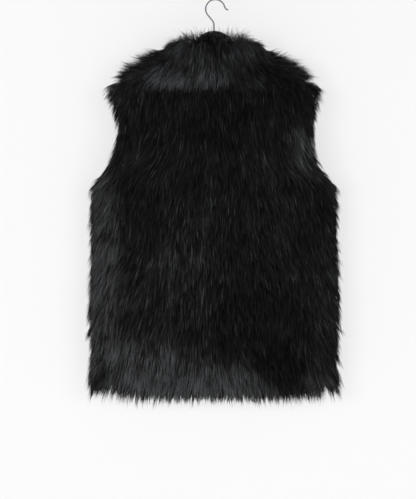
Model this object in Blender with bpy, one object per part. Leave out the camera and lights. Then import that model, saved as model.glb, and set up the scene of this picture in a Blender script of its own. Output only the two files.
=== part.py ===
"""A faux fur vest hung on a wooden coat hanger.

The cloth is a hollow worn form: a back, two fronts and a turned-down collar, each a closed wall
whose plain inner side is the fur's backing and whose outer side is the reach of its pile.
Lengths below are millimetres. The origin is the inside of the hook's crown, +Z is up, and the
garment's front faces -Y, so its back is seen from +Y and the wearer's left is +X.
"""

import math
from collections import namedtuple

import bmesh
import bpy
import numpy as np

MILLIMETRE = 0.001

# Gap between two pieces that are sewn or laid together
SEAM_GAP = 0.3

# Faces that meet at less than this angle are shaded as one surface
SMOOTH_ANGLE = math.radians(50.0)

# Half length of the steps that find a surface's direction, and rounds that find its edge
SURFACE_STEP = 2.0
EDGE_ROUNDS = 24

# The garment hangs a little to one side of the crown that carries it
CENTRE_X = 2.5

# Shoulders and neck opening, measured on the backing
SHOULDER_HALF = 188.0
NECK_HALF = 72.0
NECK_POINT_Z = -103.0
SHOULDER_SLOPE = math.radians(27.0)
SHOULDER_ROUNDING = 25.0
BACK_NECK_Z = -112.0
FRONT_NECK_Z = -172.0
FRONT_NECK_POWER = 0.75
FRONT_GAP = 0.6

# Height over which the cloth rolls from the shoulder line out to its full depth
ROLL_AT_NECK = 60.0
ROLL_AT_SHOULDER = 90.0
ROLL_BLEND = (40.0, 110.0)

# Hem of the backing, lowest at the centre
HEM_Z = -746.0
HEM_RISE = 24.0
HEM_HALF = 222.0
HEM_POWER = 3.0

# Level cross-sections are superellipses
SECTION_POWER = 2.6

# Pile: how far the fur stands off its backing
PILE = 14.0
PILE_UNDER_COLLAR = 4.0
PILE_FADE = (6.0, 48.0)
LOCK_RISE = 4.5
LOCK_ROWS = 3
LOCK_UNEVENNESS = 0.25
COLLAR_LOCK_SHARE = 0.8
HEM_FRINGE = 15.0
HEM_FRINGE_SPREAD = 5.0
ARMHOLE_FRINGE = 6.0
ARMHOLE_FRINGE_SPREAD = 3.0
FRINGE_PILE_SHARE = 0.65
OPEN_EDGE_DEPTH = 12.0

# Mesh density of the panels
HALF_COLUMNS = 16
NECK_COLUMNS = 5
ROWS = 34
EDGE_CROWDING = 0.28
EVEN_COLUMNS_FROM = 0.3

# Soft bends of the whole garment as it hangs
FORWARD_BEND = 9.0
SWAY = 4.5
SWAY_WAVE = 165.0
SWAY_SLANT = 0.2
SWAY_TOP_Z = -260.0
SWAY_MOST = 1.2
BEND_LOST_BELOW = 0.5

# Collar
STAND_BACK = 18.0
STAND_SIDE = 9.0
STAND_OUT = 2.5
COLLAR_ROLL = 6.0
COLLAR_CLEARANCE = 1.8
NECK_SUBSTEPS = (2, 2, 2, 2, 3)
SHOULDER_STATION = 11
FRONT_STATION = 22
COLLAR_FRINGE = 9.0
COLLAR_FRINGE_SPREAD = 3.5

# Hanger and hook
HANGER_HALF = 176.0
HANGER_STATIONS = 19
HANGER_UNDER_RIDGE = 0.45
WIRE_RADIUS = 1.4
HOOK_RADIUS = 18.3
HOOK_START = math.radians(-48.0)
HOOK_END = math.radians(164.0)
HOOK_ARC_POINTS = 20
SHANK_BOTTOM_Z = -76.0
SHANK_TOP_Z = -48.0
BORE_DEPTH_Z = -76.5
BORE_RADIUS = 1.75
BORE_TOP_Z = -50.0
BORE_SIDES = 12

# The garment level by level. half_width is the closed ring's half width, and the two armhole
# columns give where the cloth's edge lies when the sides are open, on the wearer's left and right.
Level = namedtuple("Level", "z half_width armhole_left armhole_right half_depth")
LEVELS = (
    Level(z=-790.0, half_width=219.0, armhole_left=240.0, armhole_right=240.0, half_depth=31.0),
    Level(z=-700.0, half_width=221.0, armhole_left=240.0, armhole_right=240.0, half_depth=30.0),
    Level(z=-600.0, half_width=224.0, armhole_left=240.0, armhole_right=240.0, half_depth=29.0),
    Level(z=-450.0, half_width=222.0, armhole_left=240.0, armhole_right=240.0, half_depth=28.0),
    Level(z=-352.0, half_width=221.0, armhole_left=224.0, armhole_right=224.0, half_depth=28.0),
    Level(z=-335.0, half_width=220.0, armhole_left=208.0, armhole_right=206.0, half_depth=28.0),
    Level(z=-315.0, half_width=220.0, armhole_left=195.0, armhole_right=191.0, half_depth=28.5),
    Level(z=-285.0, half_width=219.0, armhole_left=184.0, armhole_right=183.0, half_depth=29.5),
    Level(z=-245.0, half_width=218.0, armhole_left=177.5, armhole_right=182.0, half_depth=30.5),
    Level(z=-205.0, half_width=216.0, armhole_left=181.5, armhole_right=184.5, half_depth=31.5),
    Level(z=-165.0, half_width=214.0, armhole_left=188.0, armhole_right=188.0, half_depth=32.5),
    Level(z=-60.0, half_width=212.0, armhole_left=188.0, armhole_right=188.0, half_depth=33.5),
)

# Lower edge of the collar's backing, by stations from the centre back past the shoulder line to
# the front point: distance from the centre line, and way down the cloth from the shoulder line.
CollarEdge = namedtuple("CollarEdge", "station x way")
COLLAR_EDGE = (
    CollarEdge(station=0, x=0.0, way=125.0),
    CollarEdge(station=2, x=38.0, way=116.0),
    CollarEdge(station=4, x=76.0, way=108.0),
    CollarEdge(station=6, x=112.0, way=97.0),
    CollarEdge(station=8, x=145.0, way=71.0),
    CollarEdge(station=9, x=156.5, way=48.0),
    CollarEdge(station=10, x=163.5, way=24.0),
    CollarEdge(station=11, x=166.0, way=0.0),
    CollarEdge(station=12, x=166.0, way=-24.0),
    CollarEdge(station=13, x=163.5, way=-48.0),
    CollarEdge(station=14, x=158.0, way=-72.0),
    CollarEdge(station=16, x=141.0, way=-117.0),
    CollarEdge(station=18, x=117.0, way=-158.0),
    CollarEdge(station=20, x=88.0, way=-196.0),
    CollarEdge(station=22, x=55.0, way=-225.0),
)

# Section across the collar, after its roll: how far along the fall, and the pile there.
FALL_STEPS = (0.26, 0.42, 0.58, 0.74, 0.88, 1.0)
ROLL_ANGLES = (180.0, 135.0, 90.0, 45.0, 5.0)
COLLAR_PILE = (4.0, 6.5, 9.5, 12.5, 15.0, 17.0, 18.5, 18.0, 17.0, 16.0, 14.5, 9.5)

# Hanger outline: its top and bottom and its thickness at each distance from the centre.
HangerSection = namedtuple("HangerSection", "x top_z bottom_z thickness")
HANGER_NECK = (
    HangerSection(x=0.0, top_z=-57.5, bottom_z=-112.0, thickness=14.0),
    HangerSection(x=12.0, top_z=-59.5, bottom_z=-112.5, thickness=14.0),
    HangerSection(x=22.0, top_z=-64.5, bottom_z=-114.0, thickness=14.0),
    HangerSection(x=31.0, top_z=-72.5, bottom_z=-116.0, thickness=14.0),
    HangerSection(x=40.0, top_z=-85.0, bottom_z=-119.0, thickness=13.5),
    HangerSection(x=50.0, top_z=-97.5, bottom_z=-122.5, thickness=13.0),
    HangerSection(x=62.0, top_z=-105.0, bottom_z=-127.0, thickness=12.5),
    HangerSection(x=76.0, top_z=-106.5, bottom_z=-132.0, thickness=12.0),
)
HANGER_ARM_DEPTH = 26.0
HANGER_TIP_DEPTH = 14.0
HANGER_TIP_THICKNESS = 9.0
HANGER_TIP_DROP = 3.0

# One turn round the hanger's section: share of its half thickness, and how far the point lies
# in from the nearer of its top and bottom lines
SectionPoint = namedtuple("SectionPoint", "across inset on_top")
HANGER_SECTION = (
    SectionPoint(across=0.0, inset=0.0, on_top=True),
    SectionPoint(across=0.58, inset=1.9, on_top=True),
    SectionPoint(across=1.0, inset=6.0, on_top=True),
    SectionPoint(across=1.0, inset=6.0, on_top=False),
    SectionPoint(across=0.58, inset=1.9, on_top=False),
    SectionPoint(across=0.0, inset=0.0, on_top=False),
    SectionPoint(across=-0.58, inset=1.9, on_top=False),
    SectionPoint(across=-1.0, inset=6.0, on_top=False),
    SectionPoint(across=-1.0, inset=6.0, on_top=True),
    SectionPoint(across=-0.58, inset=1.9, on_top=True),
)

# Bend of the hook's neck between the shank and the loop, across and down
HookPoint = namedtuple("HookPoint", "x z")
HOOK_NECK = (
    HookPoint(x=2.7, z=-45.0),
    HookPoint(x=4.0, z=-41.0),
    HookPoint(x=6.6, z=-37.2),
    HookPoint(x=9.6, z=-33.9),
)
HOOK_FLARE = (
    HookPoint(x=-18.6, z=-14.6),
    HookPoint(x=-21.0, z=-17.2),
    HookPoint(x=-24.5, z=-18.2),
)

# Colour, roughness and metallic value of each finish
Finish = namedtuple("Finish", "name colour roughness metallic")
FUR_FINISH = Finish(name="black_fur", colour=(0.012, 0.012, 0.014), roughness=0.55, metallic=0.0)
COLLAR_FINISH = Finish(name="collar_fur", colour=(0.018, 0.018, 0.021), roughness=0.5, metallic=0.0)
WOOD_FINISH = Finish(name="dark_wood", colour=(0.018, 0.011, 0.009), roughness=0.4, metallic=0.0)
WIRE_FINISH = Finish(name="steel_wire", colour=(0.45, 0.45, 0.46), roughness=0.3, metallic=1.0)


def clear_scene():
    """Remove whatever the scene holds."""
    for item in list(bpy.data.objects):
        bpy.data.objects.remove(item, do_unlink=True)


def material(finish):
    """Make one plain finish."""
    made = bpy.data.materials.new(finish.name)
    made.use_nodes = True
    shader = made.node_tree.nodes["Principled BSDF"]
    shader.inputs["Base Color"].default_value = (*finish.colour, 1.0)
    shader.inputs["Roughness"].default_value = finish.roughness
    shader.inputs["Metallic"].default_value = finish.metallic
    return made


def smooth_step(low, high, value):
    """Rise softly from 0 at low to 1 at high."""
    share = min(max((value - low) / (high - low), 0.0), 1.0)
    return share * share * (3.0 - 2.0 * share)


def read_table(table, key, column, at):
    """Read one column of a table on a smooth curve through its rows."""
    keys = [getattr(row, key) for row in table]
    values = [getattr(row, column) for row in table]
    slopes = np.gradient(values, keys)
    for i in range(len(keys) - 1):
        if values[i] == values[i + 1]:
            slopes[i] = 0.0
            slopes[i + 1] = 0.0
    at = min(max(at, keys[0]), keys[-1])
    i = min(int(np.searchsorted(keys, at, side="right")) - 1, len(keys) - 2)
    span = keys[i + 1] - keys[i]
    s = (at - keys[i]) / span
    start = (1.0 + 2.0 * s) * (1.0 - s) ** 2 * values[i]
    end = s * s * (3.0 - 2.0 * s) * values[i + 1]
    bend = s * (1.0 - s) ** 2 * slopes[i] - s * s * (1.0 - s) * slopes[i + 1]
    return start + end + span * bend


def noise(i, j, salt):
    """A steady value from -1 to 1 for one lock of fur."""
    wave = math.sin(i * 12.9898 + j * 78.233 + salt * 37.719) * 43758.5453
    return 2.0 * (wave - math.floor(wave)) - 1.0


def unit(vector):
    """Scale vectors to length 1 along their last axis."""
    return vector / np.linalg.norm(vector, axis=-1, keepdims=True)


def softened(x):
    """Distance from the centre line, rounded off near it."""
    return math.sqrt(x * x + SHOULDER_ROUNDING ** 2)


def ridge_z(x):
    """Level of the shoulder line, carried on over the neck opening."""
    return NECK_POINT_Z - math.tan(SHOULDER_SLOPE) * (softened(x) - softened(NECK_HALF))


def roll_height(x):
    """How far the cloth drops while it rolls out from the shoulder line."""
    share = smooth_step(*ROLL_BLEND, abs(x))
    return ROLL_AT_NECK + (ROLL_AT_SHOULDER - ROLL_AT_NECK) * share


def level_at(x, way):
    """Level of the cloth at a distance along its path from the shoulder line."""
    roll = roll_height(x)
    turn = min(way / roll, math.pi / 2)
    return ridge_z(x) - roll * (1.0 - math.cos(turn)) - max(0.0, way - roll * math.pi / 2)


def way_to(x, z):
    """Distance along the cloth's path from the shoulder line down to a level."""
    roll = roll_height(x)
    drop = max(ridge_z(x) - z, 0.0)
    if drop < roll:
        return roll * math.acos(1.0 - drop / roll)
    return roll * math.pi / 2 + drop - roll


def body_point(x, way, facing):
    """A point of the backing: facing is 1 on the back and -1 on the fronts."""
    z = level_at(x, way)
    turn = min(way / roll_height(x), math.pi / 2)
    half_width = read_table(LEVELS, "z", "half_width", z)
    across = min(abs(x) / half_width, 1.0)
    bulge = (1.0 - across ** SECTION_POWER) ** (1.0 / SECTION_POWER)
    depth = read_table(LEVELS, "z", "half_depth", z) * bulge * math.sin(turn)
    return np.array((x, facing * depth, z))


def signed_body_point(x, way):
    """A point of the backing, with the way counted negative down the fronts."""
    return body_point(x, abs(way), 1.0 if way >= 0.0 else -1.0)


def body_normal(x, way):
    """Outward direction of the backing at a point, from two short steps on it."""
    along = signed_body_point(x, way + SURFACE_STEP) - signed_body_point(x, way - SURFACE_STEP)
    sideways = signed_body_point(x + SURFACE_STEP, way) - signed_body_point(x - SURFACE_STEP, way)
    return unit(np.cross(sideways, along))


def neckline_z(x, facing):
    """Level of the neck opening's edge within the neck points."""
    share = max(1.0 - (x / NECK_HALF) ** 2, 0.0)
    if facing > 0:
        return NECK_POINT_Z + (BACK_NECK_Z - NECK_POINT_Z) * share
    return NECK_POINT_Z + (FRONT_NECK_Z - NECK_POINT_Z) * share ** FRONT_NECK_POWER


def top_way(x, facing):
    """Where a panel's top edge lies: the neckline, or the shoulder seam beyond it."""
    if abs(x) >= NECK_HALF - 0.5:
        return 0.0
    return way_to(x, neckline_z(x, facing))


def hem_way(x):
    """Where a panel's hem lies."""
    return way_to(x, HEM_Z + HEM_RISE * (abs(x) / HEM_HALF) ** HEM_POWER)


def spread(share):
    """Crowd a panel's columns towards its side edge."""
    return share * (1.0 + EDGE_CROWDING - EDGE_CROWDING * share * share)


def panel_edge_x(side, down):
    """Distance of the side seam or armhole edge from the centre line, on one row."""
    column = "armhole_left" if side > 0 else "armhole_right"
    x = HEM_HALF
    for _ in range(EDGE_ROUNDS):
        z = level_at(x, hem_way(x) * down)
        x = min(read_table(LEVELS, "z", column, z), read_table(LEVELS, "z", "half_width", z))
    return x


def column_x(k, side, down):
    """Distance of one column of a panel from the centre line, on one row."""
    past_neck = (k - NECK_COLUMNS) / (HALF_COLUMNS - NECK_COLUMNS)
    if k <= NECK_COLUMNS:
        top = NECK_HALF * math.sin(k / NECK_COLUMNS * math.pi / 2)
    else:
        top = NECK_HALF + (SHOULDER_HALF - NECK_HALF) * past_neck
    crowded = top / SHOULDER_HALF
    even = spread(k / HALF_COLUMNS)
    return panel_edge_x(side, down) * (
        crowded + (even - crowded) * smooth_step(0.0, EVEN_COLUMNS_FROM, down))


def collar_outline():
    """Points round the collar's lower edge and its front end, as x and signed way."""
    steps = np.linspace(0.0, FRONT_STATION, 4 * FRONT_STATION + 1)
    edge = [(read_table(COLLAR_EDGE, "station", "x", s), read_table(COLLAR_EDGE, "station", "way", s))
            for s in steps]
    tip = np.array(edge[-1])
    neck = np.array((0.0, -top_way(0.0, -1.0)))
    edge += [tuple(tip + (neck - tip) * share) for share in np.linspace(0.1, 1.0, 10)]
    return np.array(edge)


def past_collar(outline, x, way, facing):
    """How far a point of the cloth lies outside the collar's outline, negative under it."""
    place = np.array((abs(x), facing * way))
    distance = np.min(np.linalg.norm(outline - place, axis=1))
    half = outline[outline[:, 1] * facing >= 0.0]
    order = np.argsort(half[:, 0])
    reach = np.interp(abs(x), half[order, 0], np.abs(half[order, 1]), right=-1.0)
    return distance if way > reach else -distance


def pile_at(outline, x, way, facing):
    """Pile height: full on the open cloth and pressed thin under the collar."""
    share = smooth_step(*PILE_FADE, past_collar(outline, x, way, facing))
    return PILE_UNDER_COLLAR + (PILE - PILE_UNDER_COLLAR) * share


def lock_relief(i, j, salt):
    """Shaggy relief: staggered locks that thicken downward and end in a step."""
    uneven = LOCK_UNEVENNESS * noise(i, j, salt)
    if i % 2:
        return LOCK_RISE * uneven
    phase = LOCK_ROWS * 0.5 * ((i // 2) % 2) + noise(i, 0, salt)
    climb = ((j + phase) / LOCK_ROWS) % 1.0
    return LOCK_RISE * (climb + uneven)


def hang(points):
    """Bend the garment and its hanger as they hang: shoulders forward, soft sway below."""
    bent = np.array(points, dtype=float)
    x = bent[..., 0]
    z = bent[..., 2]
    low = np.clip((SWAY_TOP_Z - z) / (SWAY_TOP_Z - HEM_Z), 0.0, SWAY_MOST)
    bent[..., 1] -= FORWARD_BEND * (x / SHOULDER_HALF) ** 2 * (1.0 - BEND_LOST_BELOW * low)
    bent[..., 1] += SWAY * low * np.sin(2.0 * math.pi * (x - SWAY_SLANT * z) / SWAY_WAVE)
    bent[..., 0] += CENTRE_X
    return bent


def grid_normals(grid):
    """Directions across a grid of points, by its rows and columns."""
    down = np.gradient(grid, axis=0)
    across = np.gradient(grid, axis=1)
    return unit(np.cross(down, across))


def wall_mesh(name, inner, outer, finish):
    """Close two grids of points, one inside and one outside, into one solid wall."""
    rows, columns = inner.shape[:2]
    mesh = bpy.data.meshes.new(name)
    build = bmesh.new()
    layers = []
    for grid in (inner, outer):
        layers.append([[build.verts.new(point * MILLIMETRE) for point in row] for row in grid])
    inside, outside = layers
    for r in range(rows - 1):
        for c in range(columns - 1):
            build.faces.new((inside[r][c], inside[r][c + 1], inside[r + 1][c + 1], inside[r + 1][c]))
            build.faces.new((outside[r][c], outside[r + 1][c], outside[r + 1][c + 1], outside[r][c + 1]))
    for r in range(rows - 1):
        for c in (0, columns - 1):
            build.faces.new((inside[r][c], inside[r + 1][c], outside[r + 1][c], outside[r][c]))
    for c in range(columns - 1):
        for r in (0, rows - 1):
            build.faces.new((inside[r][c], inside[r][c + 1], outside[r][c + 1], outside[r][c]))
    bmesh.ops.recalc_face_normals(build, faces=build.faces)
    build.to_mesh(mesh)
    build.free()
    made = bpy.data.objects.new(name, mesh)
    bpy.context.scene.collection.objects.link(made)
    mesh.materials.append(material(finish))
    mesh.shade_smooth()
    mesh.set_sharp_from_angle(angle=SMOOTH_ANGLE)
    return made


def panel_grids(columns, side, facing, salt):
    """Backing points, their directions outward, and pile heights of one body panel."""
    outline = collar_outline()
    inner = np.zeros((ROWS + 1, len(columns), 3))
    normals = np.zeros((ROWS + 1, len(columns), 3))
    pile = np.zeros((ROWS + 1, len(columns)))
    for j in range(ROWS + 1):
        down = j / ROWS
        for i, column in enumerate(columns):
            turned = side if side else math.copysign(1.0, column)
            top = top_way(column_x(abs(column), turned, 0.0), facing)
            x = column_x(abs(column), turned, down)
            way = top + (hem_way(x) - top) * down
            if facing < 0:
                x = max(x, FRONT_GAP / 2)
            inner[j, i] = body_point(turned * x, way, facing)
            normals[j, i] = body_normal(turned * x, facing * way)
            pile[j, i] = pile_at(outline, x, way, facing)
            covered = (pile[j, i] - PILE_UNDER_COLLAR) / (PILE - PILE_UNDER_COLLAR)
            pile[j, i] += covered * lock_relief(i, j, salt)
    return inner, normals, pile


def keep_clear(points, facing):
    """Hold points on their own side of the shoulder and side seams."""
    points[..., 1] = facing * np.maximum(facing * points[..., 1], SEAM_GAP / 2)
    return points


def panel(name, columns, side, facing, salt):
    """One body panel: its backing, its pile, and the tips past its open edges."""
    inner, normals, pile = panel_grids(columns, side, facing, salt)
    seam = np.abs(inner[..., 1]) < SEAM_GAP
    normals[seam, 1] = 0.0
    if facing < 0:
        centre = np.abs(inner[..., 0]) <= FRONT_GAP / 2
        normals[centre, 0] = 0.0
    normals = unit(normals)
    outer = inner + normals * pile[..., None]
    for i in range(len(columns)):
        onward = unit(inner[-1, i] - inner[-2, i])
        reach = HEM_FRINGE + HEM_FRINGE_SPREAD * noise(i, 1, salt)
        outer[-1, i] = inner[-1, i] + normals[-1, i] * FRINGE_PILE_SHARE * pile[-1, i] + onward * reach
    last = len(columns) - 1
    for i, before in ((0, 1), (last, last - 1)):
        if abs(columns[i]) < HALF_COLUMNS:
            continue
        for j in range(1, ROWS):
            openness = min(abs(inner[j, i, 1]) / OPEN_EDGE_DEPTH, 1.0)
            onward = unit(inner[j, i] - inner[j, before])
            reach = ARMHOLE_FRINGE + ARMHOLE_FRINGE_SPREAD * noise(j, 2, salt + i)
            thinner = 1.0 - (1.0 - FRINGE_PILE_SHARE) * openness
            outer[j, i] = inner[j, i] + normals[j, i] * thinner * pile[j, i] + onward * reach * openness
    inner = keep_clear(inner, facing)
    outer = keep_clear(outer, facing)
    return wall_mesh(name, hang(inner), hang(outer), FUR_FINISH)


def back_panel():
    """The back, from armhole to armhole."""
    return panel("back", range(-HALF_COLUMNS, HALF_COLUMNS + 1), 0.0, 1.0, 1)


def front_panels():
    """The two fronts, which meet edge to edge at the centre."""
    columns = range(HALF_COLUMNS + 1)
    panel("front_left", columns, 1.0, -1.0, 2)
    panel("front_right", columns, -1.0, -1.0, 3)


def neck_stations(facing):
    """Points, x and way round half the neckline, centre to shoulder, on the panels' own edge."""
    corners = []
    for k in range(NECK_COLUMNS + 1):
        x = column_x(k, 1.0, 0.0)
        way = top_way(x, facing)
        corners.append(np.array((*body_point(x, way, facing), x, facing * way)))
    stations = []
    for k, substeps in enumerate(NECK_SUBSTEPS):
        for step in range(substeps):
            stations.append(corners[k] + (corners[k + 1] - corners[k]) * step / substeps)
    return stations + [corners[-1]]


def collar_half(side):
    """Neck point, cloth place and edge of each station, from centre back to front end."""
    back = neck_stations(1.0)
    front = neck_stations(-1.0)
    half = []
    for station, neck in enumerate(back + front[-2::-1]):
        edge_x = read_table(COLLAR_EDGE, "station", "x", station)
        edge_way = read_table(COLLAR_EDGE, "station", "way", station)
        turn = min(station / SHOULDER_STATION, 1.0) * math.pi / 2
        stand = STAND_SIDE + (STAND_BACK - STAND_SIDE) * math.cos(turn) ** 2
        x = max(neck[3], FRONT_GAP / 2) if station > SHOULDER_STATION else neck[3]
        point = np.array((side * max(neck[0], x), neck[1], neck[2]))
        half.append((point, side * x, neck[4], side * edge_x, edge_way, stand))
    return half


def collar_section(station, along, outward):
    """Backing points of one section through the collar, and the foot of its fur side."""
    neck, neck_x, neck_way, edge_x, edge_way, stand = station
    upward = unit(np.cross(along, outward))
    upward *= math.copysign(1.0, upward[2])
    off_cloth = body_normal(neck_x, neck_way)
    past_edge = unit(np.cross(along, off_cloth))
    past_edge *= math.copysign(1.0, np.dot(past_edge, upward))
    foot = neck + past_edge * SEAM_GAP
    points = [foot + off_cloth * STAND_OUT]
    centre = neck + outward * (STAND_OUT + COLLAR_ROLL) + upward * stand
    for angle in ROLL_ANGLES:
        turn = math.radians(angle)
        points.append(centre + COLLAR_ROLL * (math.cos(turn) * outward + math.sin(turn) * upward))
    for share in FALL_STEPS:
        x = neck_x + (edge_x - neck_x) * share
        way = neck_way + (edge_way - neck_way) * share
        lift = PILE_UNDER_COLLAR + COLLAR_CLEARANCE
        points.append(signed_body_point(x, way) + body_normal(x, way) * lift)
    return points, foot - off_cloth * (COLLAR_PILE[0] - STAND_OUT)


def collar():
    """The turned-down collar: a stand, a roll and a wide fall, with fur on its outside."""
    left = collar_half(1.0)
    right = collar_half(-1.0)
    stations = left[:0:-1] + right
    neck = np.array([station[0] for station in stations])
    along = unit(np.gradient(neck, axis=0))
    inner = []
    feet = []
    for index, station in enumerate(stations):
        outward = np.array((along[index, 1], -along[index, 0], 0.0))
        if index in (0, len(stations) - 1):
            outward = np.array((0.0, -1.0, 0.0))
        outward = unit(outward)
        if np.dot(outward, neck[index] * (1.0, 1.0, 0.0)) < 0.0:
            outward = -outward
        section, fur_foot = collar_section(station, along[index], outward)
        inner.append(section)
        feet.append(fur_foot)
    inner = np.array(inner)
    normals = grid_normals(inner)
    middle = normals[len(stations) // 2, -2]
    normals *= np.sign(middle[1])
    outer = np.array(inner)
    for i in range(inner.shape[0]):
        for j in range(inner.shape[1]):
            pile = COLLAR_PILE[j]
            if j > len(ROLL_ANGLES):
                pile += lock_relief(i, j, 5) * COLLAR_LOCK_SHARE
            outer[i, j] += normals[i, j] * pile
        onward = unit(inner[i, -1] - inner[i, -2])
        outer[i, -1] += onward * (COLLAR_FRINGE + COLLAR_FRINGE_SPREAD * noise(i, 4, 6))
    outer[:, 0] = feet
    fronts = FRONT_STATION - SHOULDER_STATION
    for grid in (inner, outer):
        for rows, side in ((slice(0, fronts), 1.0), (slice(-fronts, None), -1.0)):
            x = grid[rows, :, 0]
            grid[rows, :, 0] = side * np.maximum(side * x, FRONT_GAP / 2 + SEAM_GAP)
    return wall_mesh("collar", hang(inner), hang(outer), COLLAR_FINISH)


def hanger_sections():
    """Centre, top, bottom and thickness of the hanger from one tip to the other."""
    half = list(HANGER_NECK)
    last = HANGER_NECK[-1]
    steps = HANGER_STATIONS - len(HANGER_NECK)
    for i in range(1, steps + 1):
        share = i / steps
        x = last.x + (HANGER_HALF - last.x) * share
        top = ridge_z(x) - HANGER_UNDER_RIDGE
        if i == steps:
            top -= HANGER_TIP_DROP
        depth = HANGER_ARM_DEPTH + (HANGER_TIP_DEPTH - HANGER_ARM_DEPTH) * share ** 2
        thick = last.thickness + (HANGER_TIP_THICKNESS - last.thickness) * share
        half.append(HangerSection(x=x, top_z=top, bottom_z=top - depth, thickness=thick))
    mirrored = [row._replace(x=-row.x) for row in half[:0:-1]]
    return mirrored + half


def hanger_body():
    """The wooden hanger: a domed neck and two arms that bend down and forward."""
    mesh = bpy.data.meshes.new("hanger_body")
    build = bmesh.new()
    rings = []
    for row in hanger_sections():
        ring = []
        for point in HANGER_SECTION:
            level = row.top_z - point.inset if point.on_top else row.bottom_z + point.inset
            ring.append((row.x, point.across * row.thickness / 2, level))
        rings.append([build.verts.new(point * MILLIMETRE) for point in hang(ring)])
    for first, second in zip(rings, rings[1:]):
        for k in range(len(first)):
            after = (k + 1) % len(first)
            build.faces.new((first[k], first[after], second[after], second[k]))
    build.faces.new(rings[0])
    build.faces.new(rings[-1])
    bmesh.ops.recalc_face_normals(build, faces=build.faces)
    build.to_mesh(mesh)
    build.free()
    made = bpy.data.objects.new("hanger_body", mesh)
    bpy.context.scene.collection.objects.link(made)
    mesh.materials.append(material(WOOD_FINISH))
    mesh.shade_smooth()
    mesh.set_sharp_from_angle(angle=SMOOTH_ANGLE)
    return made


def shank_bore(wood):
    """Bore the hole that the hook's shank stands in."""
    mesh = bpy.data.meshes.new("bore_cutter")
    build = bmesh.new()
    tall = (BORE_TOP_Z - BORE_DEPTH_Z) * MILLIMETRE
    radius = BORE_RADIUS * MILLIMETRE
    bmesh.ops.create_cone(build, cap_ends=True, segments=BORE_SIDES, radius1=radius,
                          radius2=radius, depth=tall)
    build.to_mesh(mesh)
    build.free()
    cutter = bpy.data.objects.new("bore_cutter", mesh)
    bpy.context.scene.collection.objects.link(cutter)
    middle = (BORE_TOP_Z + BORE_DEPTH_Z) / 2
    cutter.location = (CENTRE_X * MILLIMETRE, 0.0, middle * MILLIMETRE)
    cutter.hide_render = True
    cutter.display_type = "WIRE"
    cut = wood.modifiers.new("bore", "BOOLEAN")
    cut.operation = "DIFFERENCE"
    cut.solver = "EXACT"
    cut.object = cutter


def hanger_hook():
    """The wire hook: a straight shank, a bent neck, a round loop and a flared end."""
    route = [(CENTRE_X, SHANK_BOTTOM_Z), (CENTRE_X, SHANK_TOP_Z)]
    route += [(point.x, point.z) for point in HOOK_NECK]
    centre_z = -(HOOK_RADIUS - WIRE_RADIUS)
    for i in range(HOOK_ARC_POINTS + 1):
        turn = HOOK_START + (HOOK_END - HOOK_START) * i / HOOK_ARC_POINTS
        route.append((HOOK_RADIUS * math.cos(turn), centre_z + HOOK_RADIUS * math.sin(turn)))
    route += [(point.x, point.z) for point in HOOK_FLARE]
    curve = bpy.data.curves.new("hanger_hook", "CURVE")
    curve.dimensions = "3D"
    curve.bevel_depth = WIRE_RADIUS * MILLIMETRE
    curve.bevel_resolution = 2
    curve.use_fill_caps = True
    line = curve.splines.new("POLY")
    line.points.add(len(route) - 1)
    for point, (x, z) in zip(line.points, route):
        point.co = (x * MILLIMETRE, 0.0, z * MILLIMETRE, 1.0)
    curve.materials.append(material(WIRE_FINISH))
    made = bpy.data.objects.new("hanger_hook", curve)
    bpy.context.scene.collection.objects.link(made)
    return made


def main():
    """Build the hanger, then the vest that hangs on it."""
    clear_scene()
    shank_bore(hanger_body())
    hanger_hook()
    back_panel()
    front_panels()
    collar()


main()
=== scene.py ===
"""Looks for the faux fur vest on its hanger: cloth shells, fur, wood, wire, wall, floor and light.

Lengths are millimetres until a mesh is made. The cloth is found in the same coordinates as in the
part's source: x is the distance from the centre line and way the distance down from the shoulder
line along the cloth, counted negative down the fronts.
"""

import math
from collections import namedtuple

import bpy
import numpy as np
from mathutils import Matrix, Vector, kdtree


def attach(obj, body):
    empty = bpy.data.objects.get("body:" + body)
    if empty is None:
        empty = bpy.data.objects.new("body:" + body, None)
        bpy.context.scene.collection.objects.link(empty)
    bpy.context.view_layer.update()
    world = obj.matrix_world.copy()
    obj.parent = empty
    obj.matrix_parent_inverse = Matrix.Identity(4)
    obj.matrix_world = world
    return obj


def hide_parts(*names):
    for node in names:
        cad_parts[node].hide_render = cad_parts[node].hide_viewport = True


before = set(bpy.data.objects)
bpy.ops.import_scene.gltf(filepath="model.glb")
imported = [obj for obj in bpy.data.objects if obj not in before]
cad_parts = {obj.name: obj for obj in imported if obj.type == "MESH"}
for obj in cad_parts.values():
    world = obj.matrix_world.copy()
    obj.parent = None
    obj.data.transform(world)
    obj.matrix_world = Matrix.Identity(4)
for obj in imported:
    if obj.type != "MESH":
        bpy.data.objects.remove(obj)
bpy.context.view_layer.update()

MILLIMETRE = 0.001
RNG = np.random.default_rng(41)

# The garment's backing, as in the part's source
CENTRE_X = 2.5
SHOULDER_HALF = 188.0
NECK_HALF = 72.0
NECK_POINT_Z = -103.0
SHOULDER_SLOPE = math.radians(27.0)
SHOULDER_ROUNDING = 25.0
BACK_NECK_Z = -112.0
FRONT_NECK_Z = -172.0
FRONT_NECK_POWER = 0.75
FRONT_GAP = 0.6
SEAM_GAP = 0.3
NECK_POINT_ROOM = 0.5
ROLL_AT_NECK = 60.0
ROLL_AT_SHOULDER = 90.0
ROLL_BLEND = (40.0, 110.0)
HEM_Z = -746.0
HEM_RISE = 24.0
HEM_HALF = 222.0
HEM_POWER = 3.0
SECTION_POWER = 2.6
EDGE_ROUNDS = 24
SURFACE_STEP = 2.0
FORWARD_BEND = 9.0
SWAY = 4.5
SWAY_WAVE = 165.0
SWAY_SLANT = 0.2
SWAY_TOP_Z = -260.0
SWAY_MOST = 1.2
BEND_LOST_BELOW = 0.5
STAND_BACK = 18.0
STAND_SIDE = 9.0
STAND_OUT = 2.5
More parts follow.
